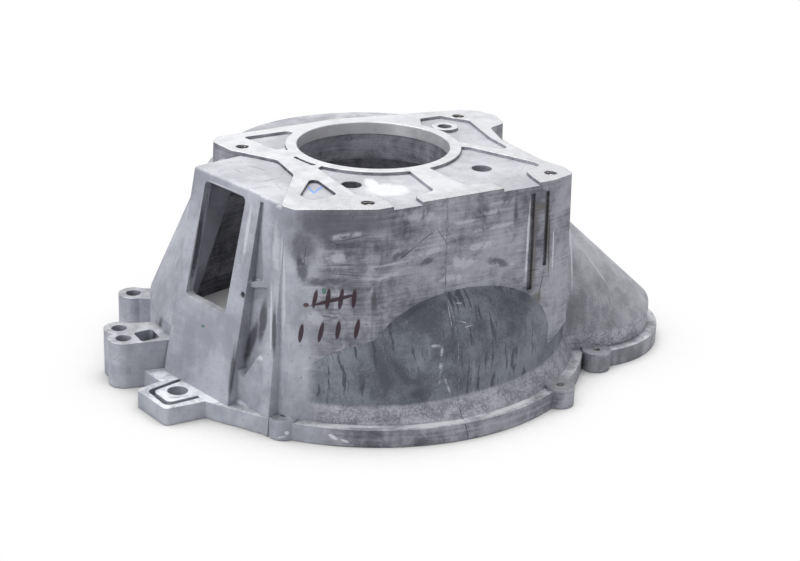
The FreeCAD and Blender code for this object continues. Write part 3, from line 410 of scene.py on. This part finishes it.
# Threads: the ridges that a tap leaves in the four gearbox bolt holes and the three small pads.
# They are bare cut aluminium, brighter than the casting, with a little oil between the turns.
CUT_BRIGHT, CUT_OILY, TOOL_MARKS = (0.34, 0.33, 0.32), (0.09, 0.08, 0.06), 0.00004
cut_metal, start = new_finish("cut_thread")
place = start.node("TexCoord", {}, {}, "Object")
oil = start.node("TexNoise", {}, {"Vector": place, "Scale": 420.0, "Detail": 5.0, "Roughness": 0.6})
scored = start.node("Mapping", {}, {"Vector": place, "Scale": (90.0, 90.0, 4200.0)})
scratch = start.node("TexNoise", {}, {"Vector": scored, "Scale": 1.0, "Detail": 3.0})
colour = oil.between(0.42, 0.60).blend(CUT_BRIGHT, CUT_OILY)
bumped = start.node("Bump", {}, {"Height": scratch, "Distance": TOOL_MARKS})
surface = start.node("BsdfPrincipled", {}, {"Base Color": colour, "Roughness": 0.28 + oil * 0.2,
                                            "Metallic": 1.0, "Normal": bumped})
start.node("OutputMaterial", {}, {"Surface": surface})


def link_piece(name, builder, material):
    """Makes a piece of a bmesh, on the casting's body."""
    mesh = bpy.data.meshes.new(name)
    bmesh.ops.recalc_face_normals(builder, faces=builder.faces)
    builder.to_mesh(mesh)
    builder.free()
    mesh.materials.append(material)
    piece = bpy.data.objects.new(name, mesh)
    bpy.context.scene.collection.objects.link(piece)
    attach(piece, "root")


def three_sided(builder, rings):
    """Joins rings of three corners into a closed ridge."""
    for ring, following in zip(rings, rings[1:]):
        for side in range(3):
            other = (side + 1) % 3
            builder.faces.new((ring[side], ring[other], following[other], following[side]))
    builder.faces.new(rings[0])
    builder.faces.new(reversed(rings[-1]))


def thread(name, centre, top, wall_radius, pitch, turns):
    """A three-sided ridge wound down a hole's wall, that runs in and out over half a turn."""
    STEPS_PER_TURN, BEDDED, LEAD, THINNEST = 40, 0.00003, 0.5, 0.02
    CREST, FLANK, FIRST_TURN = 0.42, 0.36, 0.7
    coil = bmesh.new()
    rings = []
    for step in range(turns * STEPS_PER_TURN + 1):
        wound = step / STEPS_PER_TURN
        turned = 2 * math.pi * wound
        swell = max(THINNEST, min(1.0, wound / LEAD, (turns - wound) / LEAD))
        ring = []
        for inward, drop in ((-BEDDED, -FLANK), (pitch * CREST * swell, 0.0), (-BEDDED, FLANK)):
            out = wall_radius - inward
            ring.append(coil.verts.new((centre[0] + out * math.cos(turned),
                                        centre[1] + out * math.sin(turned),
                                        top - pitch * (FIRST_TURN + wound + drop))))
        rings.append(ring)
    three_sided(coil, rings)
    link_piece(name, coil, cut_metal)


BOLT_HOLES = [(-0.0975, 0.039), (0.1055, 0.039), (0.089, -0.120), (-0.074, -0.120)]
PAD_HOLES = [(-0.134, -0.107), (0.085, -0.157), (0.152, -0.115)]
BOLT_BORE, BOLT_PITCH, BOLT_TURNS = 0.0051, 0.00175, 12
PAD_BORE, PAD_PITCH, PAD_TURNS = 0.003, 0.0010, 9
for number, centre in enumerate(BOLT_HOLES, 1):
    thread("gearbox_thread_%d" % number, centre, FACE, BOLT_BORE, BOLT_PITCH, BOLT_TURNS)
for number, centre in enumerate(PAD_HOLES, 1):
    thread("pad_thread_%d" % number, centre, PAD_TOP, PAD_BORE, PAD_PITCH, PAD_TURNS)


# Seam: the low, uneven bead of metal that the two halves of the die leave down the front wall,
# over the bell and across the flange. It is the casting's own metal, trimmed but not ground off.
SEAM_FOOT = Vector((SEAM_X, -0.06, 0.0))
SEAM_STEP, SEAM_FAR = math.radians(0.3), 0.6
SEAM_HALF_WIDTH, SEAM_HEIGHT, SEAM_BEDDED = 0.00045, 0.00030, 0.0003
FACE_MARGIN, FLOOR_MARGIN, FACES_STRAIGHT_UP = 0.001, 0.002, 0.9
SEAM_LOW, SEAM_HIGH, GRIT_DEPTH = (0.07, 0.07, 0.085), (0.34, 0.345, 0.38), 0.0002
bead_metal, start = new_finish("seam_metal")
place = start.node("TexCoord", {}, {}, "Object")
grit = start.node("TexNoise", {}, {"Vector": place, "Scale": 300.0, "Detail": 6.0, "Roughness": 0.7})
colour = grit.between(0.42, 0.60).blend(SEAM_LOW, SEAM_HIGH)
bumped = start.node("Bump", {}, {"Height": grit, "Distance": GRIT_DEPTH})
surface = start.node("BsdfPrincipled", {}, {"Base Color": colour, "Roughness": ROUGH + grit * 0.2,
                                            "Metallic": METAL, "Normal": bumped})
start.node("OutputMaterial", {}, {"Surface": surface})


def on_front(climb):
    """The front's outermost point at one angle up from the seam's foot, and its normal."""
    outward = Vector((0, -math.cos(climb), math.sin(climb)))
    return skin.ray_cast(SEAM_FOOT + outward * SEAM_FAR, -outward)[:2]


def past_the_wall(point, normal):
    """Whether a point is on the gearbox face, or on the recess floor inside it."""
    on_floor = normal.z > FACES_STRAIGHT_UP and point.z > RECESS - FLOOR_MARGIN
    return point.z > FACE - FACE_MARGIN or on_floor


EVENNESS, UNEVENNESS, QUICK_WAVE, SLOW_WAVE = 0.85, 0.15, 0.9, 0.37
aside = Vector((SEAM_HALF_WIDTH, 0, 0))
bead = bmesh.new()
rings = []
climb = SEAM_STEP
point, normal = on_front(climb)
while not past_the_wall(point, normal):
    wave = math.sin(len(rings) * QUICK_WAVE) * math.cos(len(rings) * SLOW_WAVE)
    crest = normal * SEAM_HEIGHT * (EVENNESS + UNEVENNESS * wave)
    foot = point - normal * SEAM_BEDDED
    rings.append([bead.verts.new(corner) for corner in (foot - aside, point + crest, foot + aside)])
    climb += SEAM_STEP
    point, normal = on_front(climb)
three_sided(bead, rings)
link_piece("parting_seam", bead, bead_metal)


# Bench: a plain white sheet of paper that the casting stands on. The camera and every polished face
# see it white with a painted soft shadow close round it; under the casting it hardly glows, as painted
# shade.
BENCH_REACH, BENCH_DROP = 6.0, 0.0004
SHADOW_REACH, SHADOW_SHADES = 0.060, (0.10, 0.88)
UNDER_REACH, UNDER_SHADES, UNDER_LIGHT = 0.40, (0.16, 0.34), 0.10
PAPER = (0.80, 0.80, 0.81, 1)
sheet = bmesh.new()
sheet.faces.new([sheet.verts.new((side * BENCH_REACH, end * BENCH_REACH, -BENCH_DROP))
                 for side, end in ((-1, -1), (1, -1), (1, 1), (-1, 1))])
floor_mesh = bpy.data.meshes.new("bench")
sheet.to_mesh(floor_mesh)
sheet.free()
bench = bpy.data.objects.new("bench", floor_mesh)
bpy.context.scene.collection.objects.link(bench)
paper, start = new_finish("bench_paper")
rays = start.node("LightPath", {}, {}, "Is Camera Ray")
seen = start.math("MAXIMUM", rays.also("Is Glossy Ray"), rays.also("Is Transmission Ray"))
seen = start.math("MAXIMUM", rays, seen)
clear_of_casting = start.node("AmbientOcclusion", {"samples": 3}, {"Distance": UNDER_REACH}, "AO")
clear_of_casting = clear_of_casting.between(*UNDER_SHADES) * (1 - UNDER_LIGHT) + UNDER_LIGHT
shadow = start.node("AmbientOcclusion", {"samples": 5}, {"Distance": SHADOW_REACH}, "AO")
glow = start.node("Emission", {}, {"Color": shadow.between(*SHADOW_SHADES)})
dull = start.node("BsdfDiffuse", {}, {"Color": PAPER})
paper_face = start.node("MixShader", {}, {0: seen * clear_of_casting, 1: dull, 2: glow})
start.node("OutputMaterial", {}, {"Surface": paper_face})
floor_mesh.materials.append(paper)

# Studio: a white room and three square soft boxes round the casting. The strongest hangs above and
# a little behind, a weaker one stands far out on the left, and the weakest is in front on the right.
ROOM_LIGHT = 0.62
MIDDLE = Vector((0, 0, 0.1))
world = bpy.data.worlds.new("studio")
bpy.context.scene.world = world
world.use_nodes = True
world.node_tree.nodes.clear()
start = Shade(world.node_tree)
rays = start.node("LightPath", {}, {}, "Is Camera Ray")
room = rays * (1 - ROOM_LIGHT) + ROOM_LIGHT
sky = start.node("Background", {}, {"Color": room})
start.node("OutputWorld", {}, {"Surface": sky})


def softbox(name, position, width, watts):
    """A square soft light that looks at the middle of the casting."""
    lamp = bpy.data.lights.new(name, "AREA")
    lamp.size, lamp.energy = width, watts
    light = bpy.data.objects.new(name, lamp)
    light.location = position
    light.rotation_euler = (MIDDLE - Vector(position)).to_track_quat("-Z", "Y").to_euler()
    bpy.context.scene.collection.objects.link(light)


softbox("above", position=(-0.15, 0.45, 1.8), width=1.4, watts=34)
softbox("left", position=(-1.8, -0.3, 0.9), width=1.1, watts=16)
softbox("front", position=(0.5, -1.9, 1.0), width=0.9, watts=4)
